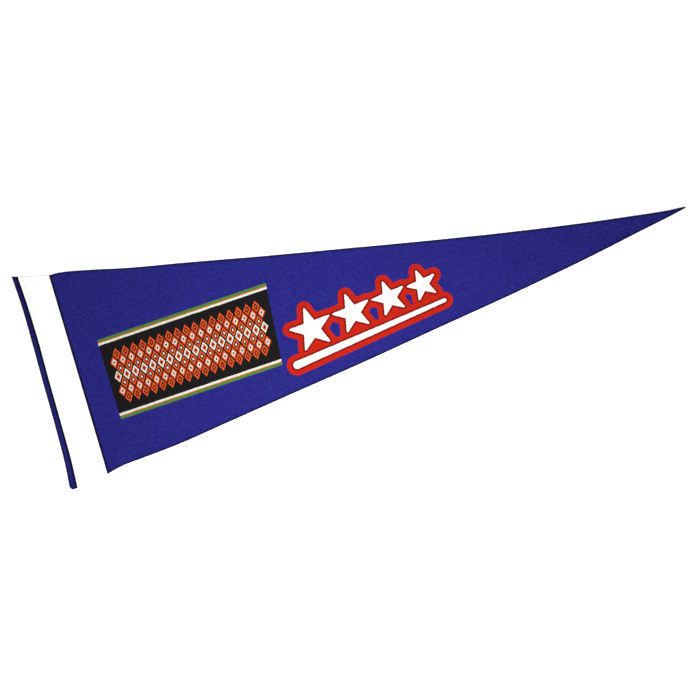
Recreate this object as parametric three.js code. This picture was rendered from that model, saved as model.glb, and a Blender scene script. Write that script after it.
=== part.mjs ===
// A felt pennant flag lying flat: one long triangle of blue felt, with a white felt header band
// fastened across its face near the wide end. The felt beyond the band shows as a thin blue strip.
// Millimetres, +Z up. The tip points along +X and the header edge runs along Y.
// The outline is drawn from the middle of the header edge. At the end the whole flag is moved
// so that the origin is the middle of its box, on the surface that it lies on.

import * as THREE from 'three';

// Driving dimensions
const LENGTH = 762;
const FELT_THICKNESS = 1.5;
const BAND_THICKNESS = 1.2;
const BAND_CLEARANCE = 0.3;
const BAND_INNER_EDGE = 41.3;

const FELT_BLUE = '#2c2a7f';
const FELT_WHITE = '#f4f2ee';

// The two long cut edges: the distance along from the header edge, and how far each edge lies
// from the middle line. They are nearly straight, with the slight waves of a cut by hand.
const LONG_EDGES = [
  { along: -4.5, upper: 131.2, lower: -120.4 },
  { along: -2.5, upper: 130.7, lower: -123.4 },
  { along: 0, upper: 130.0, lower: -124.0 },
  { along: 7, upper: 127.6, lower: -123.0 },
  { along: 41, upper: 119.4, lower: -118.3 },
  { along: 50, upper: 119.2, lower: -116.0 },
  { along: 64, upper: 117.3, lower: -113.5 },
  { along: 88, upper: 112.0, lower: -111.8 },
  { along: 133, upper: 101.3, lower: -108.1 },
  { along: 191, upper: 89.8, lower: -100.4 },
  { along: 270, upper: 73.4, lower: -90.0 },
  { along: 362, upper: 55.2, lower: -78.1 },
  { along: 454, upper: 37.2, lower: -64.8 },
  { along: 545, upper: 20.1, lower: -51.9 },
  { along: 637, upper: 4.6, lower: -37.1 },
  { along: 706, upper: -5.6, lower: -24.3 },
  { along: 741, upper: -10.3, lower: -17.9 },
  { along: 755, upper: -11.3, lower: -15.0 },
  { along: 762, upper: -11.9, lower: -13.5 },
];

// The header edge and the band's outer edge lean and bow a little. Across goes from 0 at the
// lower edge to 1 at the upper edge, and the other columns are distances along.
const HEADER_LINES = [
  { across: 0, header: -4.5, band: 4.2 },
  { across: 0.12, header: -2.2, band: 6.0 },
  { across: 0.3, header: -0.7, band: 6.9 },
  { across: 0.5, header: 0, band: 7.5 },
  { across: 0.68, header: 0.9, band: 8.5 },
  { across: 0.84, header: 1.4, band: 8.3 },
  { across: 1, header: 0.3, band: 7.0 },
];
// The lean of the header edge has died out this far along.
const HEADER_LEAN_REACH = 90;

// Where the felt stands off the surface: the tip curls up, the header corners lift,
// and the long edges ripple. The rest of the underside is flat on the surface.
const TIP_CURL = { from: 640, rise: 4 };
const CORNER_LIFTS = [
  { along: 1, aside: 130, reach: 48, rise: 2.2 },
  { along: -4, aside: -121, reach: 40, rise: 1.4 },
];
const EDGE_RIPPLES = [
  { pitch: 143, rise: 0.7, start: 20 },
  { pitch: 67, rise: 0.4, start: 5 },
];
const RIPPLE_REACH = 20;

// How finely the sheets are divided
const ROWS_ACROSS = 16;
const BAND_COLUMNS = 5;
const STATIONS = [
  ...evenSteps(0, 12, 6),
  ...evenSteps(12, 744, 76),
  ...evenSteps(744, LENGTH, 6),
  LENGTH,
];

// Equal steps from one value up to, and not including, another.
function evenSteps(first, last, count) {
  return Array.from({ length: count }, (_, k) => first + ((last - first) * k) / count);
}

// A smooth curve through a table's rows: a cubic in each span, whose slope at each row is
// that of the chord between the rows on either side.
function smoothColumn(rows, key, column, at) {
  const last = rows.length - 1;
  let k = rows.findIndex((row, index) => index < last && at <= rows[index + 1][key]);
  if (k < 0) {
    k = last - 1;
  }
  const slopeAt = (index) => {
    const before = rows[Math.max(index - 1, 0)];
    const after = rows[Math.min(index + 1, last)];
    return (after[column] - before[column]) / (after[key] - before[key]);
  };
  const span = rows[k + 1][key] - rows[k][key];
  const s = (at - rows[k][key]) / span;
  const bend = s * s * (3 - 2 * s);
  const leave = s * (1 - s) * (1 - s) * span;
  const arrive = s * s * (s - 1) * span;
  const base = rows[k][column] * (1 - bend) + rows[k + 1][column] * bend;
  return base + slopeAt(k) * leave + slopeAt(k + 1) * arrive;
}

const upperEdge = (x) => smoothColumn(LONG_EDGES, 'along', 'upper', x);
const lowerEdge = (x) => smoothColumn(LONG_EDGES, 'along', 'lower', x);
const headerLine = (across, column) => smoothColumn(HEADER_LINES, 'across', column, across);

// The share that is left at a distance: all of it up to 0, none at the reach,
// where it runs out level.
function fade(distance, reach) {
  const left = 1 - Math.max(distance, 0) / reach;
  return Math.max(left, 0) ** 2;
}

// How far the underside of the felt stands off the surface.
function liftAt(x, y) {
  let lift = TIP_CURL.rise * fade(LENGTH - x, LENGTH - TIP_CURL.from);
  for (const corner of CORNER_LIFTS) {
    const distance = Math.hypot(x - corner.along, y - corner.aside);
    lift += corner.rise * fade(distance, corner.reach);
  }
  const fromEdge = Math.max(0, Math.min(upperEdge(x) - y, y - lowerEdge(x)));
  for (const ripple of EDGE_RIPPLES) {
    const wave = 0.5 - 0.5 * Math.cos((2 * Math.PI * (x - ripple.start)) / ripple.pitch);
    lift += ripple.rise * wave * fade(fromEdge, RIPPLE_REACH) * (1 - fade(x, RIPPLE_REACH));
  }
  return lift;
}

// The point of the flag at a distance along and a share across, from lower to upper edge.
function pointAt(x, across) {
  const low = lowerEdge(x);
  return { x, y: low + (upperEdge(x) - low) * across };
}

// A closed sheet from a grid of points: its lower and upper skins, and a rim around them.
function sheetGeometry(columns, rows, cornerAt, underside, thickness) {
  const positions = [];
  for (const raised of [0, thickness]) {
    for (let i = 0; i <= columns; i += 1) {
      for (let j = 0; j <= rows; j += 1) {
        const { x, y } = cornerAt(i, j / rows);
        positions.push(x, y, underside(x, y) + raised);
      }
    }
  }
  const skin = (columns + 1) * (rows + 1);
  const under = (i, j) => i * (rows + 1) + j;
  const over = (i, j) => skin + under(i, j);
  const triangles = [];
  const quad = (a, b, c, d) => triangles.push(a, b, c, a, c, d);
  for (let i = 0; i < columns; i += 1) {
    for (let j = 0; j < rows; j += 1) {
      quad(over(i, j), over(i + 1, j), over(i + 1, j + 1), over(i, j + 1));
      quad(under(i, j), under(i, j + 1), under(i + 1, j + 1), under(i + 1, j));
    }
    quad(under(i, 0), under(i + 1, 0), over(i + 1, 0), over(i, 0));
    quad(under(i + 1, rows), under(i, rows), over(i, rows), over(i + 1, rows));
  }
  for (let j = 0; j < rows; j += 1) {
    quad(under(0, j + 1), under(0, j), over(0, j), over(0, j + 1));
    quad(under(columns, j), under(columns, j + 1), over(columns, j + 1), over(columns, j));
  }
  const geometry = new THREE.BufferGeometry();
  geometry.setAttribute('position', new THREE.Float32BufferAttribute(positions, 3));
  geometry.setIndex(triangles);
  geometry.computeVertexNormals();
  return geometry;
}

function feltMesh(name, geometry, color) {
  const material = new THREE.MeshStandardMaterial({ color, roughness: 0.95, metalness: 0 });
  const mesh = new THREE.Mesh(geometry, material);
  mesh.name = name;
  return mesh;
}

// The blue triangle, one piece from the header edge to the tip.
function pennantBody() {
  const cornerAt = (i, across) => {
    const lean = headerLine(across, 'header') * fade(STATIONS[i], HEADER_LEAN_REACH);
    return pointAt(STATIONS[i] + lean, across);
  };
  const columns = STATIONS.length - 1;
  const geometry = sheetGeometry(columns, ROWS_ACROSS, cornerAt, liftAt, FELT_THICKNESS);
  return feltMesh('pennant_body', geometry, FELT_BLUE);
}

// The white band on the face of the felt, cut flush with both long edges.
function headerBand() {
  const cornerAt = (i, across) => {
    const outer = headerLine(across, 'band');
    return pointAt(outer + ((BAND_INNER_EDGE - outer) * i) / BAND_COLUMNS, across);
  };
  const underside = (x, y) => liftAt(x, y) + FELT_THICKNESS + BAND_CLEARANCE;
  const geometry = sheetGeometry(BAND_COLUMNS, ROWS_ACROSS, cornerAt, underside, BAND_THICKNESS);
  return feltMesh('header_band', geometry, FELT_WHITE);
}

const flag = new THREE.Group();
flag.add(pennantBody(), headerBand());

const box = new THREE.Box3().setFromObject(flag);
const middle = box.getCenter(new THREE.Vector3());
flag.position.set(-middle.x, -middle.y, -box.min.z);

const group = new THREE.Group();
group.add(flag);

export default group;
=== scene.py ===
"""The look of a felt pennant flag that lies flat: blue felt, a white felt header band sewn across
its wide end, and generic printed motifs in white, red, orange, charcoal and green ink."""

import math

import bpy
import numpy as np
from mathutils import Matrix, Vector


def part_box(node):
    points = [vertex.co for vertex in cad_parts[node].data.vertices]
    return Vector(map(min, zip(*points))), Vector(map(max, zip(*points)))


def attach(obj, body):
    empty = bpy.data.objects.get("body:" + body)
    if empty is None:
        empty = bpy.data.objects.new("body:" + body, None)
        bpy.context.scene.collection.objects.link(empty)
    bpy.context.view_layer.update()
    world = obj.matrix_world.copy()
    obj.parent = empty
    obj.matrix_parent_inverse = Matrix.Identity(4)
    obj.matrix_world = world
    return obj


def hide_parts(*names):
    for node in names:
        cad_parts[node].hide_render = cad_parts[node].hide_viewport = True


bl_info = {
    "name": "Felt pennant flag",
    "version": (1, 0, 0),
    "blender": (4, 5, 0),
    "location": "3D View > Sidebar > Pennant",
    "description": "Makes the felt, header band, stitching and print of a pennant flag",
    "category": "Add Mesh",
}

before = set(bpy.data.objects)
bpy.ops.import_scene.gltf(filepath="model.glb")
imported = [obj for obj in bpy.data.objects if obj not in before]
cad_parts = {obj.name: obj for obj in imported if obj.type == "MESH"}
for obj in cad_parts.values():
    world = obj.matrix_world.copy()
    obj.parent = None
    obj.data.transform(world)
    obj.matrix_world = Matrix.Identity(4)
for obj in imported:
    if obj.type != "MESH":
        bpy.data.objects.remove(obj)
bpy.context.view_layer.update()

# Places on the flag are drawn in millimetres from the middle of its header edge: along towards
# the tip, and aside towards the upper long edge. The box of the felt says where that lies.
MM = 0.001
LENGTH = 762.0
BAND_INNER_EDGE = 41.3
BAND_CLEARANCE = 0.3

# The two long cut edges, from the header edge to the tip
LONG_EDGES = {
    "along": (
        -4.5, -2.5, 0.0, 7.0, 41.0, 50.0, 64.0, 88.0, 133.0, 191.0,
        270.0, 362.0, 454.0, 545.0, 637.0, 706.0, 741.0, 755.0, 762.0,
    ),
    "upper": (
        131.2, 130.7, 130.0, 127.6, 119.4, 119.2, 117.3, 112.0, 101.3, 89.8,
        73.4, 55.2, 37.2, 20.1, 4.6, -5.6, -10.3, -11.3, -11.9,
    ),
    "lower": (
        -120.4, -123.4, -124.0, -123.0, -118.3, -116.0, -113.5, -111.8, -108.1, -100.4,
        -90.0, -78.1, -64.8, -51.9, -37.1, -24.3, -17.9, -15.0, -13.5,
    ),
}

# The header edge and the band's outer edge, from the lower corner (0) to the upper corner (1)
HEADER_LINES = {
    "across": (0.0, 0.12, 0.3, 0.5, 0.68, 0.84, 1.0),
    "header": (-4.5, -2.2, -0.7, 0.0, 0.9, 1.4, 0.3),
    "band": (4.2, 6.0, 6.9, 7.5, 8.5, 8.3, 7.0),
}

# Where the felt stands off the surface, as in the solids
TIP_CURL = {"from": 640.0, "rise": 4.0}
CORNER_LIFTS = (
    {"along": 1.0, "aside": 130.0, "reach": 48.0, "rise": 2.2},
    {"along": -4.0, "aside": -121.0, "reach": 40.0, "rise": 1.4},
)
EDGE_RIPPLES = (
    {"pitch": 143.0, "rise": 0.7, "start": 20.0},
    {"pitch": 67.0, "rise": 0.4, "start": 5.0},
)
RIPPLE_REACH = 20.0

# Slight unevenness of the pressed felt: crossing waves, each with its pitch and direction
SWELL_RISE = 0.02
SWELL_WAVES = (
    {"pitch": 61.0, "turn": 22.0, "start": 0.0},
    {"pitch": 47.0, "turn": -74.0, "start": 1.3},
    {"pitch": 83.0, "turn": -45.0, "start": 2.1},
)

# The corners of the printed panel: along and aside
PANEL_CORNERS = {
    "lower_header": (73.8, -62.5),
    "lower_tip": (268.8, -55.0),
    "upper_tip": (277.0, 40.6),
    "upper_header": (73.0, 32.3),
}

# Stripes along both long sides of the panel: the ink, the distance from the side and the width
PANEL_STRIPES = (
    {"ink": "green", "start": 0.0, "width": 3.4},
    {"ink": "orange", "start": 3.4, "width": 0.9},
    {"ink": "pale", "start": 4.3, "width": 2.6},
)

# The rows of lozenges from the lowest up to the middle one, and the same back again above it:
# the inks of the lozenge, its heart and its core
LOZENGE_ROWS = (
    ("orange", "charcoal", "orange"),
    ("orange", "pale", "charcoal"),
    ("orange", "charcoal", "pale"),
    ("pale", "orange", "charcoal"),
)
LOZENGE_ROWS += LOZENGE_ROWS[-2::-1]
# The share of a lozenge's size that it, its heart and its core have
LOZENGE_PARTS = {"lozenge": 1.0, "heart": 0.6, "core": 0.28}
# The printed field's charcoal border at the panel's two ends
PANEL_END_MARGIN = 6.0

# The row of printed stars, growing smaller towards the tip
STARS = (
    {"along": 312.5, "aside": -25.0, "radius": 25.5, "turn": 4.0},
    {"along": 362.5, "aside": -20.5, "radius": 23.0, "turn": 5.5},
    {"along": 408.0, "aside": -16.2, "radius": 20.5, "turn": 7.0},
    {"along": 448.5, "aside": -12.4, "radius": 18.0, "turn": 8.5},
)
# A star's notches lie at this share of its radius, and its points are rounded to this radius
STAR_NOTCH = 0.382
POINT_ROUNDING = 1.0

# The stripe under the stars: the middles of its two round ends, and their radii
STAR_STRIPE = (
    {"along": 285.0, "aside": -60.0, "radius": 4.4},
    {"along": 468.0, "aside": -36.5, "radius": 2.2},
)

# Ink spreads a little unevenly into felt: crossing waves push each printed edge to and fro
BLEED = 0.07
BLEED_WAVES = (
    {"pitch": 2.9, "turn": 17.0},
    {"pitch": 4.3, "turn": -52.0},
    {"pitch": 3.5, "turn": 83.0},
)

# A layer of ink starts this far above the felt. Its film takes up a share of the layer.
INK_GAP = 0.03
FILM_SHARE = 0.6
INK_ROUNDING = 0.01
# Each star lies a little higher than the stripe and the star before it, where they overlap
STAR_LEVELS = {"first": 0.2, "step": 0.15}

# Rows of points close to a cut edge, in millimetres from it, or in this share of a narrow span
EDGE_ROWS = np.array([0.0, 0.6, 1.3, 3.4])
EDGE_SHARE = 0.3
# A rounded edge turns through these steps in degrees. Its radius takes up no more than these
# shares of the outermost gap between points and of the thickness.
ROUNDING_TURNS = (0, 30, 60, 90)
ROUNDING_SHARES = {"gap": 0.5, "thickness": 0.45}
# How finely the pieces are divided: rows across, columns along, and rings of points. The ends of
# the stripe are closed by rows of the least half width.
FELT_GRID = {"rows": 66, "strip": 3, "covered": 40, "field": 290}
BAND_GRID = {"rows": 150, "columns": 44}
PANEL_GRID = {"columns": 61, "rows": 31, "line_rows": 4}
STAR_GRID = {"around": 240, "rings": 8}
STRIPE_GRID = {"end": 12, "body": 70, "rows": 7, "least_half": 0.05}
LOZENGE_RINGS = 2
STITCH_GRID = {"rings": 7, "around": 6}
FIBRE_GRID = {"rings": 4, "around": 3}
# Faces that meet at more degrees than this meet in a sharp edge
SHARP_FROM = 40.0

# Painted shade darkens the felt within this reach of its cut edges and of the creases by the band
RIM_REACH = 3.4
# How dark the painted shade is there, and how wide at its darkest: at a cut edge, and in the
# painted crease shadow on the strip beyond the band and on the field
RIM_PEAK = {"cut": 0.75, "painted_crease_shadow": 1.0}
RIM_WIDTH = {"cut": 0.6, "strip": 2.1, "field": 1.3}
# Towards the upper corner a painted shadow of the band's outer edge darkens the strip beyond it
STRIP_SHADOW = {"from": 0.5, "depth": 0.3}

# The seams: how wide the groove is, how far the thread stands out of it, where the band's middle
# lies, and the share of its width that is stitched
GROOVE_WIDTH = 1.1
THREAD_RISE = 0.05
BAND_MIDDLE = 24.0
STITCHED_SHARE = 0.985
# A stitch: how flat its section is, how far its ends sink as a share of the thread's thickness,
# and the least square of the share of the section that is left there
STITCH = {"flatness": 0.8, "sink": 0.9, "least": 0.02}

# Loose fibre ends: the lengths of the edges that they stand on, and the shares of an edge and of
# the felt's thickness between which they start
FRAYED_EDGES = {"upper": LENGTH, "lower": LENGTH, "header": 250.0}
FRAYED_SPAN = (0.002, 0.998)
FRAYED_HEIGHTS = (0.25, 0.9)
# Each end is drawn at random between these: how far it leans and bends in radians, its length
# as a share of the longest, and how steeply it rises
FIBRE_RANGES = {
    "lean": (-1.0, 1.0),
    "bend": (-1.2, 1.2),
    "length": (0.25, 1.0),
    "slope": (-0.15, 0.5),
}
FIBRE_SEED = 7
# How much commoner short ends are, how deep they are rooted and how much thinner they grow
FIBRE_END = {"crowding": 1.6, "root": 0.2, "thinning": 0.6}

# The picture: its middle on the flag, its width and its turn, and a long lens straight above
CAMERA = {"along": 347.9, "aside": -60.58, "width": 802.6, "turn": -16.46, "lens": 100.0}
SENSOR_WIDTH = 36.0
# One round soft box over the middle of the flag, and the even light of a pale studio
LAMP = {"along": 332.0, "aside": -123.0, "height": 620.0, "size": 300.0, "watts": 6.25}
STUDIO_LIGHT = 0.18
WHITE = (1.0, 1.0, 1.0, 1.0)
# The floor's half width, and how far it lies under the flag
FLOOR = {"half": 14000.0, "drop": 0.3}


def smooth_column(table, key, column, at):
    """A cubic in each span between two rows. Its slope at a row is that of the chord between
    the rows on either side."""
    x = np.array(table[key])
    y = np.array(table[column])
    last = len(x) - 1
    before = np.maximum(np.arange(last + 1) - 1, 0)
    after = np.minimum(np.arange(last + 1) + 1, last)
    slope = (y[after] - y[before]) / (x[after] - x[before])
    k = np.clip(np.searchsorted(x, at) - 1, 0, last - 1)
    span = x[k + 1] - x[k]
    s = (at - x[k]) / span
    bend = s * s * (3 - 2 * s)
    leave = s * (1 - s) ** 2 * span
    arrive = s * s * (s - 1) * span
    return y[k] * (1 - bend) + y[k + 1] * bend + slope[k] * leave + slope[k + 1] * arrive


def upper_edge(x):
    return smooth_column(LONG_EDGES, "along", "upper", x)


def lower_edge(x):
    return smooth_column(LONG_EDGES, "along", "lower", x)


def header_line(across, column):
    return smooth_column(HEADER_LINES, "across", column, across)


def fade(distance, reach):
    """The square of the share of the reach that is left: 1 at no distance, 0 at the reach."""
    return np.maximum(1 - np.maximum(distance, 0) / reach, 0) ** 2


def lift_at(x, y):
    """How far the felt stands off the surface: the sum of the tip's curl, two corner lifts that
    fade with distance, and cosine ripples that fade away from the long edges."""
    lift = TIP_CURL["rise"] * fade(LENGTH - x, LENGTH - TIP_CURL["from"])
    for corner in CORNER_LIFTS:
        distance = np.hypot(x - corner["along"], y - corner["aside"])
        lift = lift + corner["rise"] * fade(distance, corner["reach"])
    from_edge = np.minimum(upper_edge(x) - y, y - lower_edge(x))
    for ripple in EDGE_RIPPLES:
        wave = 0.5 - 0.5 * np.cos(2 * math.pi * (x - ripple["start"]) / ripple["pitch"])
        edge_share = fade(from_edge, RIPPLE_REACH) * (1 - fade(x, RIPPLE_REACH))
        lift = lift + ripple["rise"] * wave * edge_share
    return lift


def phase_at(x, y, wave):
    """How far a level wave has turned at a point, in radians: one turn for each pitch along it."""
    turn = math.radians(wave["turn"])
    return 2 * math.pi * (x * math.cos(turn) + y * math.sin(turn)) / wave["pitch"]


def felt_top(x, y, thickness):
    """The felt's upper face: the lift, the thickness, and the sum of the crossing sine waves."""
    top = lift_at(x, y) + thickness
    for wave in SWELL_WAVES:
        top = top + SWELL_RISE * np.sin(phase_at(x, y, wave) + wave["start"])
    return top


def to_frame(x, y, z):
    """Points drawn in millimetres on the flag, as metres in the frame of the solids. The felt's
    box reaches the tip along and the upper header corner aside."""
    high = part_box("pennant_body")[1]
    points = np.stack(np.broadcast_arrays(x - LENGTH, y, z), axis=-1) * MM
    upper_corner = upper_edge(header_line(1.0, "header")) * MM
    return points + np.array([high[0], high[1] - upper_corner, 0.0])


def graded(start, end, steps):
    """Positions from start to end along a new first axis: a few close to each end, at the edge
    rows, and even steps between. Where the span is narrow, the close ones shrink with it."""
    start, end = np.broadcast_arrays(np.asarray(start, float), np.asarray(end, float))
    reach = np.minimum(EDGE_ROWS[-1], (end - start) * EDGE_SHARE)
    shape = (-1,) + (1,) * start.ndim
    near = (EDGE_ROWS / EDGE_ROWS[-1]).reshape(shape)
    inner = (np.arange(1, steps) / steps).reshape(shape)
    first = start + near * reach
    middle = start + reach + (end - start - 2 * reach) * inner
    final = end - near[::-1] * reach
    return np.concatenate([first, middle, final])


def row_shares(steps):
    """The share across of each row of a sheet, at the wide end."""
    width = upper_edge(0.0) - lower_edge(0.0)
    return graded(0.0, width, steps) / width


def rows_between_edges(x, steps):
    """How far aside each grid point lies: the graded rows between the lower and upper edges."""
    rows = graded(lower_edge(x), upper_edge(x), steps)
    return np.take_along_axis(rows, np.arange(x.shape[1]).reshape(1, 1, -1), axis=0)[0]


def closed_sheet(x, y, under, over, rounding):
    """A closed sheet from a grid of points: an upper and a lower skin, joined round the edge by
    a quarter circle, a straight wall and another quarter circle. Returns points and quads."""
    columns, rows = x.shape
    index = np.arange(columns * rows).reshape(columns, rows)
    edge_loop = np.concatenate([index[:, 0], index[-1, 1:], index[-2::-1, -1], index[0, -2:0:-1]])
    i, j = np.unravel_index(edge_loop, (columns, rows))
    inner = (np.clip(i, 1, columns - 2), np.clip(j, 1, rows - 2))
    edge = np.stack([x[i, j], y[i, j]], axis=-1)
    out = edge - np.stack([x[inner], y[inner]], axis=-1)
    gap = np.linalg.norm(out, axis=-1, keepdims=True)
    out = out / gap
    widest = ROUNDING_SHARES["gap"] * gap[:, 0]
    deepest = ROUNDING_SHARES["thickness"] * (over - under)[i, j]
    radius = np.minimum(np.minimum(rounding, widest), deepest)
    rings = []
    for low, turns in ((False, ROUNDING_TURNS), (True, ROUNDING_TURNS[::-1])):
        for turn in turns:
            inset = radius * (1 - math.sin(math.radians(turn)))
            drop = radius * (1 - math.cos(math.radians(turn)))
            level = under[i, j] + drop if low else over[i, j] - drop
            rings.append(np.column_stack([edge - out * inset[:, None], level]))
    skins = [np.column_stack([x.ravel(), y.ravel(), z.ravel()]) for z in (over, under)]
    skins[0][edge_loop] = rings[0]
    skins[1][edge_loop] = rings[-1]
    base = columns * rows
    added = 2 * base + np.arange((len(rings) - 2) * len(edge_loop)).reshape(-1, len(edge_loop))
    ring = np.concatenate([[edge_loop], added, [base + edge_loop]])
    nxt = np.roll(ring, -1, axis=1)
    walls = np.stack([ring[1:], nxt[1:], nxt[:-1], ring[:-1]], axis=-1).reshape(-1, 4)
    top = np.stack([index[:-1, :-1], index[1:, :-1], index[1:, 1:], index[:-1, 1:]], axis=-1)
    top = top.reshape(-1, 4)
    faces = np.concatenate([top, base + top[:, ::-1], walls])
    return np.concatenate(skins + rings[1:-1]), faces.tolist()


def ring_quads(rings, around):
    """The numbers of the points on successive rings, of the next point round from each, and the
    quads between the rings."""
    ring = np.arange(rings * around).reshape(rings, around)
    nxt = np.roll(ring, -1, axis=1)
    quads = np.stack([ring[:-1], nxt[:-1], nxt[1:], ring[1:]], axis=-1).reshape(-1, 4)
    return ring, nxt, quads


def repeat_faces(patterns, copies, points_each):
    """The same faces again for each copy of a shape, whose points follow one another: those of
    the first pattern for all copies, and then those of the next."""
    starts = np.arange(copies)[:, None, None] * points_each
    return [face for p in patterns for face in (starts + p).reshape(-1, p.shape[-1]).tolist()]


def tubes(x, y, z, heading, radius, around, flatness=1.0):
    """Closed tubes along paths, each a row of x, y and z. Across the heading at each point of a
    path lies a ring: a circle of the radius there, or an oval as much lower as the flatness."""
    angle = np.arange(around) * 2 * math.pi / around
    side = radius[:, None] * np.cos(angle)
    px = x[..., None] - np.sin(heading)[..., None] * side
    py = y[..., None] + np.cos(heading)[..., None] * side
    pz = z[..., None] + radius[:, None] * np.sin(angle) * flatness
    points = np.stack([px, py, pz], axis=-1).reshape(-1, 3)
    ring, _, skin = ring_quads(len(radius), around)
    ends = np.stack([ring[0][::-1], ring[-1]])
    return points, repeat_faces((skin, ends), len(x), ring.size)


def add_object(name, data):
    """A new object in the scene."""
    item = bpy.data.objects.new(name, data)
    bpy.context.scene.collection.objects.link(item)
    return item


def add_piece(name, points, faces, material):
    """A new mesh object in the frame's metres, riding on the flag's one body."""
    mesh = bpy.data.meshes.new(name)
    mesh.from_pydata(to_frame(points[:, 0], points[:, 1], points[:, 2]).tolist(), [], faces)
    mesh.shade_smooth()
    mesh.set_sharp_from_angle(angle=math.radians(SHARP_FROM))
    mesh.materials.append(material)
    piece = add_object(name, mesh)
    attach(piece, "root")
    return piece


def linear(hex_colour):
    """An sRGB hex colour as linear red, green, blue and alpha."""
    parts = [int(hex_colour[k : k + 2], 16) / 255 for k in (1, 3, 5)]
    return (*(c / 12.92 if c <= 0.04045 else ((c + 0.055) / 1.055) ** 2.4 for c in parts), 1.0)


def add_node(tree, kind, inputs=None, output=0, **settings):
    """A shader node with its settings, its plain values and its links from other nodes' outputs.
    Returns its own output: the first one, or the one asked for."""
    node = tree.nodes.new("ShaderNode" + kind)
    for key, value in settings.items():
        setattr(node, key, value)
    for key, value in (inputs or {}).items():
        if isinstance(value, bpy.types.NodeSocket):
            tree.links.new(value, node.inputs[key])
        else:
            node.inputs[key].default_value = value
    return node.outputs[output] if node.outputs else None


def colour_property(name, description, default):
    """A colour, given as sRGB hex."""
    return bpy.props.FloatVectorProperty(
        name=name,
        description=description,
        default=linear(default),
        size=4,
        min=0.0,
        max=1.0,
        subtype="COLOR",
    )


def length_property(name, description, default):
    """A length, given in millimetres."""
    return bpy.props.FloatProperty(
        name=name,
        description=description,
        default=default * MM,
        min=0.0,
        subtype="DISTANCE",
        unit="LENGTH",
        precision=5,
    )


class FeltSizes(bpy.types.PropertyGroup):
    """Sizes of the felt, the header band and its seam"""

    body_thickness: length_property("Felt thickness", "Thickness of the blue felt", 1.5)
    band_thickness: length_property("Band thickness", "Thickness of the white header band", 1.2)
    edge_rounding: length_property("Edge rounding", "Radius of the cut edges' soft corners", 0.4)
    seam_inset: length_property("Seam inset", "How far each seam lies in from the band's edge", 3.4)
    stitch_pitch: length_property("Stitch pitch", "Distance from stitch to stitch", 3.2)
    stitch_length: length_property("Stitch length", "Length of thread that shows", 2.5)
    thread_thickness: length_property("Thread", "Thickness of the sewing thread", 0.42)
    seam_dip: length_property("Seam dip", "How deep the seam draws the felt in", 0.32)
    fuzz_length: length_property("Fuzz length", "Longest fibre end at a cut edge", 1.5)
    fibre_thickness: length_property("Fibre", "Thickness of a loose fibre end", 0.08)
    fuzz_per_mm: bpy.props.FloatProperty(
        name="Fuzz density", description="Fibre ends in a millimetre of edge", default=2.4, min=0.0
    )


class PrintSizes(bpy.types.PropertyGroup):
    """Sizes of the printed motifs"""

    ink_film: length_property("Ink film", "Thickness of a layer of printed ink", 0.04)
    inner_line: length_property("Inner line", "Width of the dark red line round a star", 2.0)
    contour: length_property("Contour", "Width of the red contour round a star", 5.6)
    lozenge_pitch: length_property("Lozenge pitch", "Distance from lozenge to lozenge", 10.4)
    lozenge_row_pitch: length_property("Row pitch", "Distance from row to row of lozenges", 8.5)
    lozenge_gap: length_property("Lozenge gap", "Charcoal left between the lozenges", 1.6)


class FlagColours(bpy.types.PropertyGroup):
    """Colours of the felt, the thread and the inks"""

    felt_blue_dark: colour_property("Blue felt, dark", "Deeper fibres of the flag", "#171564")
    felt_blue_pale: colour_property("Blue felt, pale", "Paler fibres of the flag", "#272577")
    felt_white_dark: colour_property("White felt, dark", "Deeper fibres of the band", "#ebe9e6")
    felt_white_pale: colour_property("White felt, pale", "Paler fibres of the band", "#fefefe")
    thread: colour_property("Thread", "The sewing thread of the band", "#ece9e1")
    ink_white: colour_property("White ink", "Stars and the stripe under them", "#d7d3d1")
    ink_pale: colour_property("Pale ink", "Lozenges and lines of the panel", "#c9cac0")
    ink_red: colour_property("Red ink", "Contour of the stars", "#a91a07")
    ink_dark_red: colour_property("Dark red ink", "Line inside the contour", "#720604")
    ink_orange: colour_property("Orange ink", "Lozenges", "#c84b1b")
    ink_charcoal: colour_property("Charcoal ink", "Ground of the panel", "#121010")
    ink_green: colour_property("Green ink", "Stripes of the panel", "#4c702c")
    floor: colour_property("Floor", "The pale floor", "#f2f2f2")


# Blotches in the felt: how wide each kind is in millimetres, and its detail
MOTTLE = {
    "grain": {"size": 1.7, "detail": 1.0},
    "blotch": {"size": 3.4, "detail": 2.0},
    "cloud": {"size": 38.0, "detail": 1.0},
    "pinhole": {"size": 0.8, "detail": 3.0},
}
# What the shade and the relief of the felt, and of the ink on it, are mixed from
FELT_MIXTURES = {
    "shade": {"blotch": 0.34, "grain": 0.5, "cloud": 0.06, "fibres": 0.18},
    "relief": {"blotch": 0.5, "grain": 0.5, "fibres": 0.25},
}
INK_MIXTURES = {
    "shade": {"blotch": 0.35, "grain": 0.5, "fibres": 0.2},
    "relief": {"blotch": 0.5, "grain": 0.5, "fibres": 0.25},
    "holes": {"pinhole": 1.0},
}
# Fibres lie in these directions, this long and this far apart. A real fibre is 0.03 mm thick, and
# is drawn about 0.12 mm thick to show.
FIBRE_TURNS = (8.0, 52.0, 97.0, 141.0)
FIBRE_LENGTH = 7.0
FIBRE_SPACING = 1.1
FIBRE_SHARE = 0.035


def empty_material(name):
    """A material and its node tree, with nothing in the tree yet."""
    material = bpy.data.materials.new(name)
    material.use_nodes = True
    material.node_tree.nodes.clear()
    return material, material.node_tree


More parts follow.
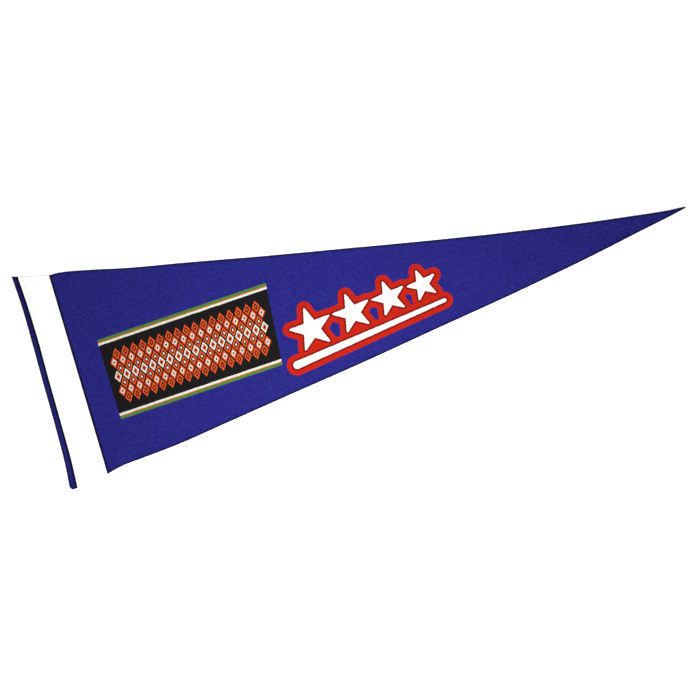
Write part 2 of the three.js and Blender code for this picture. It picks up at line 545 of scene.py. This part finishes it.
def felted_patterns(tree, mixtures):
    """The patterns that the felt and the ink on it share, on Object coordinates in millimetres:
    noise at each blotch size, and a tangle of fibres. A fibre runs where a noise, stretched
    along one of the fibres' directions, passes through its middle value. Each mixture is the
    sum of its layers, each times its weight."""
    coordinates = add_node(tree, "TexCoord", output="Object")
    millimetres = add_node(tree, "Mapping", {"Vector": coordinates, "Scale": (1 / MM,) * 3})
    nearest = 1.0
    for turn in FIBRE_TURNS:
        stretch = {
            "Vector": millimetres,
            "Rotation": (0.0, 0.0, math.radians(turn)),
            "Scale": (FIBRE_LENGTH, FIBRE_SPACING, FIBRE_SPACING),
        }
        place = add_node(tree, "Mapping", stretch, vector_type="TEXTURE")
        tangle = {"Vector": place, "Scale": 1.0, "Detail": 0.0, "Distortion": 1.2}
        noise = add_node(tree, "TexNoise", tangle)
        offset = add_node(tree, "Math", {0: noise, 1: 0.5}, operation="SUBTRACT")
        size = add_node(tree, "Math", {0: offset}, operation="ABSOLUTE")
        nearest = add_node(tree, "Math", {0: size, 1: nearest}, operation="MINIMUM")
    closeness = {"Value": nearest, "From Min": FIBRE_SHARE, "From Max": 0.0}
    layers = {"fibres": add_node(tree, "MapRange", closeness)}
    needed = {layer for weights in mixtures.values() for layer in weights} - layers.keys()
    for layer in sorted(needed):
        size, detail = MOTTLE[layer]["size"], MOTTLE[layer]["detail"]
        mottle = {"Vector": millimetres, "Scale": 1 / size, "Detail": detail, "Roughness": 0.55}
        layers[layer] = add_node(tree, "TexNoise", mottle)
    patterns = {}
    for name, weights in mixtures.items():
        total = 0.0
        for layer, weight in weights.items():
            terms = {0: layers[layer], 1: weight, 2: total}
            total = add_node(tree, "Math", terms, operation="MULTIPLY_ADD")
        patterns[name] = total
    return patterns


def felt_material(name, dark, pale, sheen, sheen_tint, painted_glow):
    """Pressed felt: fully matt, mottled in soft blotches 2 to 4 mm wide, with a tangle of paler
    fibres and a faint haze of standing fibre ends. Where the painted-shade attribute says so, at
    cut edges and in the crease beside the band, painted shade and painted shadow darken it. A
    painted glow brightens white felt, as of an optical brightener, though the felt is no lamp."""
    material, tree = empty_material(name)
    patterns = felted_patterns(tree, FELT_MIXTURES)
    shade = {"Value": patterns["shade"], "From Min": 0.385, "From Max": 0.615}
    mixture = {"Factor": add_node(tree, "MapRange", shade), "A": dark, "B": pale}
    fibres = add_node(tree, "Mix", mixture, output="Result", data_type="RGBA")
    # Painted shade at the cut edges and painted shadow in the creases darken the colour
    packed = add_node(tree, "Attribute", output="Fac", attribute_name="packed")
    light_left = add_node(tree, "MapRange", {"Value": packed, "To Min": 1.0, "To Max": 0.06})
    shaded = add_node(tree, "VectorMath", {0: fibres, "Scale": light_left}, operation="SCALE")
    relief = {"Height": patterns["relief"], "Strength": 0.55, "Distance": 0.45 * MM}
    look = {
        "Base Color": shaded,
        "Roughness": 0.95,
        "Specular IOR Level": 0.12,
        "Sheen Weight": sheen,
        "Sheen Roughness": 0.55,
        "Sheen Tint": linear(sheen_tint),
        # Painted glow: the felt gives off light of its own, though it is no lamp
        "Emission Color": WHITE,
        "Emission Strength": painted_glow,
        "Normal": add_node(tree, "Bump", relief),
    }
    add_node(tree, "OutputMaterial", {"Surface": add_node(tree, "BsdfPrincipled", look)})
    return material


def ink_material(ink, colours):
    """Screen-print ink soaked into felt: matt, a little cloudy, following the felt's fibres, and
    with pinholes where the felt shows through."""
    material, tree = empty_material(f"screen_ink_{ink}")
    patterns = felted_patterns(tree, INK_MIXTURES)
    clouds = {"From Min": 0.34, "From Max": 0.6, "To Min": 0.82, "To Max": 1.12}
    cloudy = add_node(tree, "MapRange", {"Value": patterns["shade"], **clouds})
    tint = {0: getattr(colours, f"ink_{ink}")[:3], "Scale": cloudy}
    tinted = add_node(tree, "VectorMath", tint, operation="SCALE")
    holes = {"Value": patterns["holes"], "From Min": 0.33, "From Max": 0.28, "To Max": 0.55}
    pinholes = add_node(tree, "MapRange", holes)
    mixture = {"Factor": pinholes, "A": tinted, "B": colours.felt_blue_dark}
    covered = add_node(tree, "Mix", mixture, output="Result", data_type="RGBA")
    relief = {"Height": patterns["relief"], "Strength": 0.45, "Distance": 0.4 * MM}
    look = {
        "Base Color": covered,
        "Roughness": 0.85,
        "Specular IOR Level": 0.1,
        "Normal": add_node(tree, "Bump", relief),
    }
    add_node(tree, "OutputMaterial", {"Surface": add_node(tree, "BsdfPrincipled", look)})
    return material


def thread_material(name, colour):
    """Twisted polyester sewing thread: a soft gloss, broken by the slanting grooves between its
    plies, which are painted darker as painted shade. The grooves of real thread are 0.2 mm apart,
    and are drawn 0.5 mm apart."""
    material, tree = empty_material(name)
    coordinates = add_node(tree, "TexCoord", output="Object")
    millimetres = add_node(tree, "Mapping", {"Vector": coordinates, "Scale": (1 / MM,) * 3})
    plies = add_node(
        tree,
        "TexWave",
        {"Vector": millimetres, "Scale": 0.62, "Distortion": 0.4},
        output="Fac",
        wave_type="BANDS",
        bands_direction="DIAGONAL",
    )
    # Painted shade: the colour is darker in the grooves between the plies
    shade = add_node(tree, "MapRange", {"Value": plies, "To Min": 0.86, "To Max": 1.0})
    tinted = add_node(tree, "VectorMath", {0: colour[:3], "Scale": shade}, operation="SCALE")
    relief = {"Height": plies, "Strength": 0.5, "Distance": 0.05 * MM}
    look = {
        "Base Color": tinted,
        "Roughness": 0.55,
        "Sheen Weight": 0.2,
        "Normal": add_node(tree, "Bump", relief),
    }
    add_node(tree, "OutputMaterial", {"Surface": add_node(tree, "BsdfPrincipled", look)})
    return material


def acrylic_material(name, colour):
    """Opal acrylic lit from below, as a photographer's light table: an even white with no gloss,
    on which shadows all but vanish."""
    material, tree = empty_material(name)
    coordinates = add_node(tree, "TexCoord", output="Object")
    haze = add_node(tree, "TexNoise", {"Vector": coordinates, "Scale": 3.0, "Detail": 1.0})
    shade = add_node(tree, "MapRange", {"Value": haze, "To Min": 0.98, "To Max": 1.0})
    tinted = add_node(tree, "VectorMath", {0: colour[:3], "Scale": shade}, operation="SCALE")
    look = {
        "Base Color": tinted,
        "Roughness": 1.0,
        "Specular IOR Level": 0.1,
        "Emission Color": WHITE,
        "Emission Strength": 0.6,
    }
    add_node(tree, "OutputMaterial", {"Surface": add_node(tree, "BsdfPrincipled", look)})
    return material


def painted_rim(distance, peak, full):
    """A rim of painted shade: its peak up to the full distance, then running out evenly to nothing.
    """
    return peak * np.clip((RIM_REACH - distance) / (RIM_REACH - full), 0, 1)


def painted_rim_shade(points, thickness):
    """How dark the painted shade makes the felt at each point: the stronger of the rims along the
    nearest cut edge and, on the face, the painted shadow along the nearest edge of the band, and
    over it the strip's painted shadow."""
    x, y, z = points.T
    low, high = lower_edge(x), upper_edge(x)
    across = np.clip((y - low) / (high - low), 0, 1)
    outer = header_line(across, "band")
    on_face = z > lift_at(x, y) + thickness / 2
    on_strip = x < outer
    from_header = x - header_line(across, "header")
    from_cut = np.minimum.reduce([high - y, y - low, from_header, LENGTH - x])
    from_band = np.minimum(np.abs(x - outer), np.abs(x - BAND_INNER_EDGE))
    crease_width = np.where(on_strip, RIM_WIDTH["strip"], RIM_WIDTH["field"])
    # Painted shadow of the band's edges in the creases, on the face only
    painted_crease_shadow = painted_rim(from_band, RIM_PEAK["painted_crease_shadow"], crease_width) * on_face
    packed = np.maximum(painted_rim(from_cut, RIM_PEAK["cut"], RIM_WIDTH["cut"]), painted_crease_shadow)
    start = STRIP_SHADOW["from"]
    towards_corner = np.clip((across - start) / (1 - start), 0, 1)
    shadow = STRIP_SHADOW["depth"] * towards_corner * (on_face & on_strip)
    return 1 - (1 - packed) * (1 - shadow)


def seam_lines(shares, sizes):
    """How far along each of the two seams runs: a set distance in from the band's long edges."""
    inset = sizes.seam_inset / MM
    outer = header_line(shares, "band") + inset
    return outer, np.full_like(outer, BAND_INNER_EDGE - inset)


def seam_groove(x, seams, sizes):
    """How deep the thread draws the felt in: a bell curve about 2 mm wide along each seam."""
    distance = np.minimum(np.abs(x - seams[0]), np.abs(x - seams[1]))
    return sizes.seam_dip / MM * np.exp(-((distance / GROOVE_WIDTH) ** 2))


class PENNANT_OT_felt_body(bpy.types.Operator):
    """Make the blue felt: one long triangle with soft cut edges"""

    bl_idname = "pennant.felt_body"
    bl_label = "Blue felt"

    def execute(self, context):
        sizes = context.scene.felt_sizes
        colours = context.scene.flag_colours
        shares = row_shares(FELT_GRID["rows"])
        band = header_line(shares, "band")
        strip = graded(header_line(shares, "header"), band, FELT_GRID["strip"])
        covered = graded(band, BAND_INNER_EDGE, FELT_GRID["covered"])
        field = graded(np.full_like(band, BAND_INNER_EDGE), LENGTH, FELT_GRID["field"])
        x = np.concatenate([strip, covered[1:], field[1:]])
        y = rows_between_edges(x, FELT_GRID["rows"])
        under = lift_at(x, y) + seam_groove(x, seam_lines(shares, sizes), sizes)
        over = felt_top(x, y, sizes.body_thickness / MM)
        points, faces = closed_sheet(x, y, under, over, sizes.edge_rounding / MM)
        felt = felt_material(
            "pressed_blue_wool_felt",
            colours.felt_blue_dark,
            colours.felt_blue_pale,
            sheen=0.06,
            sheen_tint="#8f93e0",
            painted_glow=0.0,
        )
        piece = add_piece("felt_sheet", points, faces, felt)
        # The painted shade and shadow, kept on the points for the felt's colour
        painted_shade_values = painted_rim_shade(points, sizes.body_thickness / MM).astype(np.float32)
        piece.data.attributes.new("packed", "FLOAT", "POINT").data.foreach_set("value", painted_shade_values)
        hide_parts("pennant_body")
        return {"FINISHED"}


class PENNANT_OT_header_band(bpy.types.Operator):
    """Make the white felt header band, drawn in a little along its two seams"""

    bl_idname = "pennant.header_band"
    bl_label = "Header band"

    def execute(self, context):
        sizes = context.scene.felt_sizes
        colours = context.scene.flag_colours
        shares = row_shares(BAND_GRID["rows"])
        x = graded(header_line(shares, "band"), BAND_INNER_EDGE, BAND_GRID["columns"])
        y = rows_between_edges(x, BAND_GRID["rows"])
        under = lift_at(x, y) + sizes.body_thickness / MM + BAND_CLEARANCE
        groove = seam_groove(x, seam_lines(shares, sizes), sizes)
        over = under + sizes.band_thickness / MM - groove
        points, faces = closed_sheet(x, y, under, over, sizes.edge_rounding / MM)
        felt = felt_material(
            "pressed_white_felt",
            colours.felt_white_dark,
            colours.felt_white_pale,
            sheen=0.15,
            sheen_tint="#ffffff",
            # A painted glow keeps the white band bright where the lamp's light is weaker
            painted_glow=0.1,
        )
        piece = add_piece("header_band_sheet", points, faces, felt)
        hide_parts("header_band")
        return {"FINISHED"}


def stitches_along(x, y, z, turn, away, length, thickness):
    """Stitches, each a tube of oval section whose middle line is an arc: level in the middle and
    bending away into the felt, down or up, with the square of the distance. The section shrinks
    towards both ends, as the root of one less the fourth power of the distance."""
    share = np.linspace(-1, 1, STITCH_GRID["rings"])
    radius = thickness / 2 * np.sqrt(np.maximum(1 - share**4, STITCH["least"]))
    turn = turn[:, None]
    path_x = x[:, None] + share * length / 2 * np.cos(turn)
    path_y = y[:, None] + share * length / 2 * np.sin(turn)
    path_z = z[:, None] - thickness * STITCH["sink"] * share**2 * away[:, None]
    around, flatness = STITCH_GRID["around"], STITCH["flatness"]
    return tubes(path_x, path_y, path_z, turn, radius, around, flatness)


class PENNANT_OT_stitching(bpy.types.Operator):
    """Sew the header band down with two rows of white stitches, which also show on the back"""

    bl_idname = "pennant.stitching"
    bl_label = "Stitching"

    def execute(self, context):
        sizes = context.scene.felt_sizes
        width = upper_edge(BAND_MIDDLE) - lower_edge(BAND_MIDDLE)
        count = int(width / (sizes.stitch_pitch / MM)) - 1
        shares = 0.5 + ((np.arange(count) + 0.5) / count - 0.5) * STITCHED_SHARE
        face_level = (sizes.body_thickness + sizes.band_thickness - sizes.seam_dip) / MM
        face_level += BAND_CLEARANCE + THREAD_RISE
        back_level = sizes.seam_dip / MM - THREAD_RISE
        rows = []
        for seam in seam_lines(shares, sizes):
            y = lower_edge(seam) + (upper_edge(seam) - lower_edge(seam)) * shares
            turn = np.arctan2(np.gradient(y), np.gradient(seam))
            lift = lift_at(seam, y)
            for level, away in ((face_level, 1.0), (back_level, -1.0)):
                rows.append(np.stack([seam, y, lift + level, turn, np.full(count, away)]))
        points, faces = stitches_along(
            *np.concatenate(rows, axis=1), sizes.stitch_length / MM, sizes.thread_thickness / MM
        )
        thread = thread_material("white_polyester_thread", context.scene.flag_colours.thread)
        add_piece("band_stitching", points, faces, thread)
        return {"FINISHED"}


def cut_edge(side, shares):
    """Points on a cut edge of the felt at sorted shares of its length, and the direction there
    that points away from the felt: the edge's own direction turned by a quarter."""
    if side == "header":
        x = header_line(shares, "header")
        y = lower_edge(x) + (upper_edge(x) - lower_edge(x)) * shares
    else:
        corner = header_line(1.0 if side == "upper" else 0.0, "header")
        x = corner + (LENGTH - corner) * shares
        y = upper_edge(x) if side == "upper" else lower_edge(x)
    run, rise = np.gradient(x), np.gradient(y)
    turn = -1 if side == "lower" else 1
    length = np.hypot(run, rise)
    return x, y, -turn * rise / length, turn * run / length


def fibre_ends(x, y, z, out_x, out_y, longest, thickness, random):
    """Loose fibre ends: three-sided tubes that leave the edge at a random lean, turn by a random
    bend in step with the distance run, and grow thinner."""
    lean, bend, shares, slope = (random.uniform(*ends, len(x)) for ends in FIBRE_RANGES.values())
    lean = np.arctan2(out_y, out_x) + lean
    length = longest * shares ** FIBRE_END["crowding"]
    share = np.linspace(0, 1, FIBRE_GRID["rings"])
    heading = lean[:, None] + bend[:, None] * share / 2
    reach = length[:, None] * share
    path_x = (x - out_x * FIBRE_END["root"])[:, None] + reach * np.cos(heading)
    path_y = (y - out_y * FIBRE_END["root"])[:, None] + reach * np.sin(heading)
    path_z = z[:, None] + reach * slope[:, None]
    radius = thickness / 2 * (1 - FIBRE_END["thinning"] * share)
    return tubes(path_x, path_y, path_z, heading, radius, FIBRE_GRID["around"])


class PENNANT_OT_edge_fuzz(bpy.types.Operator):
    """Let short fibre ends stand out of the felt's cut edges"""

    bl_idname = "pennant.edge_fuzz"
    bl_label = "Edge fuzz"

    def execute(self, context):
        sizes = context.scene.felt_sizes
        random = np.random.default_rng(FIBRE_SEED)
        edges = []
        for side, length in FRAYED_EDGES.items():
            count = int(length * sizes.fuzz_per_mm)
            shares = np.sort(random.uniform(*FRAYED_SPAN, count))
            edges.append(np.stack(cut_edge(side, shares)))
        x, y, out_x, out_y = np.concatenate(edges, axis=1)
        heights = random.uniform(*FRAYED_HEIGHTS, len(x))
        z = lift_at(x, y) + sizes.body_thickness / MM * heights
        points, faces = fibre_ends(
            x, y, z, out_x, out_y, sizes.fuzz_length / MM, sizes.fibre_thickness / MM, random
        )
        felt = bpy.data.materials["pressed_blue_wool_felt"]
        add_piece("edge_fibre_ends", points, faces, felt)
        return {"FINISHED"}


def panel_point(s, t):
    """A point of the printed panel: s goes towards the tip and t towards the upper edge, each
    from 0 to 1, and the four corners are blended by s and t."""
    s, t = np.broadcast_arrays(s, t)
    return tuple(
        (PANEL_CORNERS["lower_header"][k] * (1 - s) + PANEL_CORNERS["lower_tip"][k] * s) * (1 - t)
        + (PANEL_CORNERS["upper_header"][k] * (1 - s) + PANEL_CORNERS["upper_tip"][k] * s) * t
        for k in (0, 1)
    )


def bled(x, y):
    """Printed places, pushed along and aside by the sums of the crossing sine and cosine waves."""
    along, aside = x, y
    for wave in BLEED_WAVES:
        along = along + BLEED * np.sin(phase_at(x, y, wave))
        aside = aside + BLEED * np.cos(phase_at(x, y, wave))
    return along, aside


def ink_levels(x, y, layer, context):
    """The underside and the top of a layer of ink. The top lies a small gap and one film for each
    layer above the felt's face."""
    film = context.scene.print_sizes.ink_film / MM
    top = felt_top(x, y, context.scene.felt_sizes.body_thickness / MM) + INK_GAP + layer * film
    return top - FILM_SHARE * film, top


def add_ink(name, points, faces, ink):
    """A printed piece, whose material the operator has made."""
    add_piece(name, points, faces, bpy.data.materials[f"screen_ink_{ink}"])


def ink_sheet(name, x, y, layer, ink, context):
    """A closed film of ink on the felt, from a grid of points."""
    x, y = bled(x, y)
    under, top = ink_levels(x, y, layer, context)
    points, faces = closed_sheet(x, y, under, top, INK_ROUNDING)
    add_ink(name, points, faces, ink)


def ink_shapes(name, outlines, centres, rings, layer, ink, context):
    """Closed films of ink, one for each outline: rings of points that shrink in even steps from
    the outline to its centre, above and again below, with a wall between."""
    copies, around = outlines.shape[:2]
    shares = np.linspace(1, 0, rings + 1)[:-1, None, None]
    spread = centres[:, None, None] + (outlines - centres[:, None])[:, None] * shares
    flat = np.concatenate([spread.reshape(copies, -1, 2), centres[:, None]], axis=1)
    flat = np.stack(bled(flat[..., 0], flat[..., 1]), axis=-1)
    under, top = ink_levels(flat[..., 0], flat[..., 1], layer, context)
    levels = np.concatenate([top, under], axis=1)[..., None]
    points = np.concatenate([np.concatenate([flat, flat], axis=1), levels], axis=-1)
    ring, nxt, bands = ring_quads(rings, around)
    hub = ring.size
    half = hub + 1
    wall = np.stack([ring[0] + half, nxt[0] + half, nxt[0], ring[0]], axis=-1)
    quads = np.concatenate([bands, bands[:, ::-1] + half, wall])
    fan = np.stack([ring[-1], nxt[-1], np.full(around, hub)], axis=-1)
    triangles = np.concatenate([fan, fan[:, ::-1] + half])
    add_ink(name, points.reshape(-1, 3), repeat_faces((quads, triangles), copies, 2 * half), ink)


def lozenge_outlines(s, t, half_width, half_height):
    """Lozenges on the panel: four corners, and the middle of each side between them."""
    corners = np.array([(1, 0), (0, 1), (-1, 0), (0, -1)])
    path = np.stack([corners, (corners + np.roll(corners, -1, axis=0)) / 2], axis=1).reshape(-1, 2)
    x, y = panel_point(s[:, None] + path[:, 0] * half_width, t[:, None] + path[:, 1] * half_height)
    return np.stack([x, y], axis=-1), np.stack(panel_point(s, t), axis=-1)


class PENNANT_OT_lozenge_panel(bpy.types.Operator):
    """Print the panel: a charcoal ground, striped long sides and rows of lozenges"""

    bl_idname = "pennant.lozenge_panel"
    bl_label = "Lozenge panel"

    def execute(self, context):
        prints = context.scene.print_sizes
        for ink in ("charcoal", "orange", "pale", "green"):
            ink_material(ink, context.scene.flag_colours)
        x, y = panel_point([0.0, 1.0, 0.5, 0.5], [0.5, 0.5, 0.0, 1.0])
        width, height = (math.hypot(x[k + 1] - x[k], y[k + 1] - y[k]) for k in (0, 2))
        columns = np.linspace(0, 1, PANEL_GRID["columns"])[:, None]
        x, y = panel_point(columns, np.linspace(0, 1, PANEL_GRID["rows"]))
        ink_sheet("panel_ground", x, y, 1, "charcoal", context)
        for stripe in PANEL_STRIPES:
            ink = stripe["ink"]
            start = stripe["start"] / height
            end = start + stripe["width"] / height
            for side, low, high in (("lower", start, end), ("upper", 1 - end, 1 - start)):
                x, y = panel_point(columns, np.linspace(low, high, PANEL_GRID["line_rows"]))
                ink_sheet(f"panel_{ink}_line_{side}", x, y, 2, ink, context)
        pitch = prints.lozenge_pitch / MM / width
        row_pitch = prints.lozenge_row_pitch / MM / height
        gap = prints.lozenge_gap / MM
        full_row = 2 * int((0.5 - PANEL_END_MARGIN / width) / pitch)
        half_width = pitch / 2 - gap / 2 / width
        half_height = row_pitch - gap / height
        for number, row_inks in enumerate(LOZENGE_ROWS):
            row = number - len(LOZENGE_ROWS) // 2
            count = full_row - row % 2
            s = 0.5 + pitch * (np.arange(count) - (count - 1) / 2)
            t = np.full(count, 0.5 + row * row_pitch)
            parts = zip(LOZENGE_PARTS.items(), row_inks)
            for layer, ((part, share), ink) in enumerate(parts, start=2):
                name = f"{part}_row_{number + 1}"
                outlines, centres = lozenge_outlines(s, t, half_width * share, half_height * share)
                ink_shapes(name, outlines, centres, LOZENGE_RINGS, layer, ink, context)
        return {"FINISHED"}


def grown_star(radius, turn, growth):
    """The outline a set distance outside a star, in polar form. Its sides are the straight lines
    from points to notches, moved outwards. Round each point it is a circle, up to where the
    circle touches those lines."""
    half_step = math.pi / 5
    angle = np.arange(STAR_GRID["around"]) * 2 * math.pi / STAR_GRID["around"]
    fold = np.abs((angle + half_step) % (2 * half_step) - half_step)
    rise = radius * STAR_NOTCH * math.sin(half_step)
    run = radius - radius * STAR_NOTCH * math.cos(half_step)
    side = math.hypot(run, rise)
    line = (radius * rise + growth * side) / (run * np.sin(fold) + rise * np.cos(fold))
    square = np.maximum(growth**2 - (radius * np.sin(fold)) ** 2, 0)
    circle = radius * np.cos(fold) + np.sqrt(square)
    touch = math.atan2(growth * run, radius * side + growth * rise)
    reach = np.where(fold < touch, circle, line)
    heading = angle + turn + math.pi / 2
    return np.stack([reach * np.cos(heading), reach * np.sin(heading)], axis=-1)


def tapered_stripe(first, last, growth):
    """A grid over a stripe between two round ends of different radii: half circles at the ends,
    and between them the straight lines that touch both circles."""
    start = np.array([first["along"], first["aside"]])
    axis = np.array([last["along"], last["aside"]]) - start
    wide, narrow = first["radius"] + growth, last["radius"] + growth
    length = np.linalg.norm(axis)
    axis = axis / length
    turn = np.linspace(0, math.pi / 2, STRIPE_GRID["end"])
    body = np.linspace(0, length, STRIPE_GRID["body"])[1:-1]
    run = np.concatenate([-wide * np.cos(turn), body, length + narrow * np.sin(turn)])
    lean = (wide - narrow) / length
    half = (wide - run * lean) / math.sqrt(1 - lean**2)
    half = np.where(run < wide * lean, np.sqrt(np.maximum(wide**2 - run**2, 0)), half)
    from_last = run - length
    last_round = np.sqrt(np.maximum(narrow**2 - from_last**2, 0))
    half = np.where(from_last > narrow * lean, last_round, half)
    half = np.maximum(half, STRIPE_GRID["least_half"])
    side = half[:, None] * np.linspace(-1, 1, STRIPE_GRID["rows"])
    run = np.broadcast_to(run[:, None], side.shape)
    return start[0] + run * axis[0] - side * axis[1], start[1] + run * axis[1] + side * axis[0]


class PENNANT_OT_star_row(bpy.types.Operator):
    """Print white stars over a white stripe, with a dark red line and a broad red contour"""

    bl_idname = "pennant.star_row"
    bl_label = "Star row"

    def execute(self, context):
        prints = context.scene.print_sizes
        line = prints.inner_line / MM
        growths = {"red": line + prints.contour / MM, "dark_red": line, "white": 0.0}
        for layer, (ink, growth) in enumerate(growths.items()):
            ink_material(ink, context.scene.flag_colours)
            x, y = tapered_stripe(*STAR_STRIPE, growth)
            ink_sheet(f"stripe_{ink}", x, y, 1 + layer, ink, context)
            for number, star in enumerate(STARS):
                centre = np.array([[star["along"], star["aside"]]])
                radius = star["radius"] - POINT_ROUNDING
                shape = grown_star(radius, math.radians(star["turn"]), growth + POINT_ROUNDING)
                level = 1 + layer + STAR_LEVELS["first"] + STAR_LEVELS["step"] * number
                outline, rings = shape[None] + centre, STAR_GRID["rings"]
                ink_shapes(f"star_{number + 1}_{ink}", outline, centre, rings, level, ink, context)
        return {"FINISHED"}


class PENNANT_OT_sheets(bpy.types.Operator):
    """Do nothing: no sizes or pieces of the felt sheets are given here"""

    bl_idname = "pennant.sheets"
    bl_label = "Sheets"

    def execute(self, context):
        return {"FINISHED"}


class PENNANT_OT_stage(bpy.types.Operator):
    """Lay the pale floor, hang the soft light and set the camera straight above"""

    bl_idname = "pennant.stage"
    bl_label = "Stage"

    def execute(self, context):
        scene = context.scene
        half, level = FLOOR["half"] * MM, -FLOOR["drop"] * MM
        corners = [(x * half, y * half, level) for x, y in ((-1, -1), (1, -1), (1, 1), (-1, 1))]
        mesh = bpy.data.meshes.new("floor")
        mesh.from_pydata(corners, [], [(0, 1, 2, 3)])
        mesh.materials.append(acrylic_material("opal_acrylic", scene.flag_colours.floor))
        add_object("floor", mesh)

        world = bpy.data.worlds.new("studio")
        world.use_nodes = True
        studio = world.node_tree.nodes["Background"].inputs
        studio["Color"].default_value = WHITE
        studio["Strength"].default_value = STUDIO_LIGHT
        scene.world = world
        scene.view_settings.view_transform = "Standard"

        softbox = bpy.data.lights.new("softbox", "AREA")
        softbox.shape = "DISK"
        softbox.size = LAMP["size"] * MM
        softbox.energy = LAMP["watts"]
        lamp = add_object("softbox", softbox)
        lamp.location = to_frame(LAMP["along"], LAMP["aside"], LAMP["height"])

        lens = bpy.data.cameras.new("camera")
        lens.lens = CAMERA["lens"]
        lens.sensor_width = SENSOR_WIDTH
        camera = add_object("camera", lens)
        height = CAMERA["width"] * CAMERA["lens"] / SENSOR_WIDTH
        camera.location = to_frame(CAMERA["along"], CAMERA["aside"], height)
        camera.rotation_euler = (0.0, 0.0, math.radians(CAMERA["turn"]))
        scene.camera = camera
        return {"FINISHED"}


class PENNANT_PT_panel(bpy.types.Panel):
    """The flag's sizes, colours and pieces"""

    bl_label = "Felt pennant flag"
    bl_idname = "PENNANT_PT_panel"
    bl_space_type = "VIEW_3D"
    bl_region_type = "UI"
    bl_category = "Pennant"

    def draw(self, context):
        for name in PROPERTY_GROUPS:
            box = self.layout.box()
            group = getattr(context.scene, name)
            for setting in group.__annotations__:
                box.prop(group, setting)
        for operator in OPERATORS:
            self.layout.operator(operator.bl_idname)


PROPERTY_GROUPS = {
    "felt_sizes": FeltSizes,
    "print_sizes": PrintSizes,
    "flag_colours": FlagColours,
}
OPERATORS = (
    PENNANT_OT_stage,
    PENNANT_OT_felt_body,
    PENNANT_OT_header_band,
    PENNANT_OT_stitching,
    PENNANT_OT_edge_fuzz,
    PENNANT_OT_lozenge_panel,
    PENNANT_OT_star_row,
    PENNANT_OT_sheets,
)
CLASSES = tuple(PROPERTY_GROUPS.values()) + OPERATORS + (PENNANT_PT_panel,)


def register():
    for item in CLASSES:
        bpy.utils.register_class(item)
    for name, group in PROPERTY_GROUPS.items():
        setattr(bpy.types.Scene, name, bpy.props.PointerProperty(type=group))


def unregister():
    for name in PROPERTY_GROUPS:
        delattr(bpy.types.Scene, name)
    for item in reversed(CLASSES):
        bpy.utils.unregister_class(item)


def main():
    register()
    bpy.ops.pennant.stage()
    bpy.ops.pennant.felt_body()
    bpy.ops.pennant.header_band()
    bpy.ops.pennant.stitching()
    bpy.ops.pennant.edge_fuzz()
    bpy.ops.pennant.lozenge_panel()
    bpy.ops.pennant.star_row()
    bpy.ops.pennant.sheets()


if __name__ == "__main__":
    main()
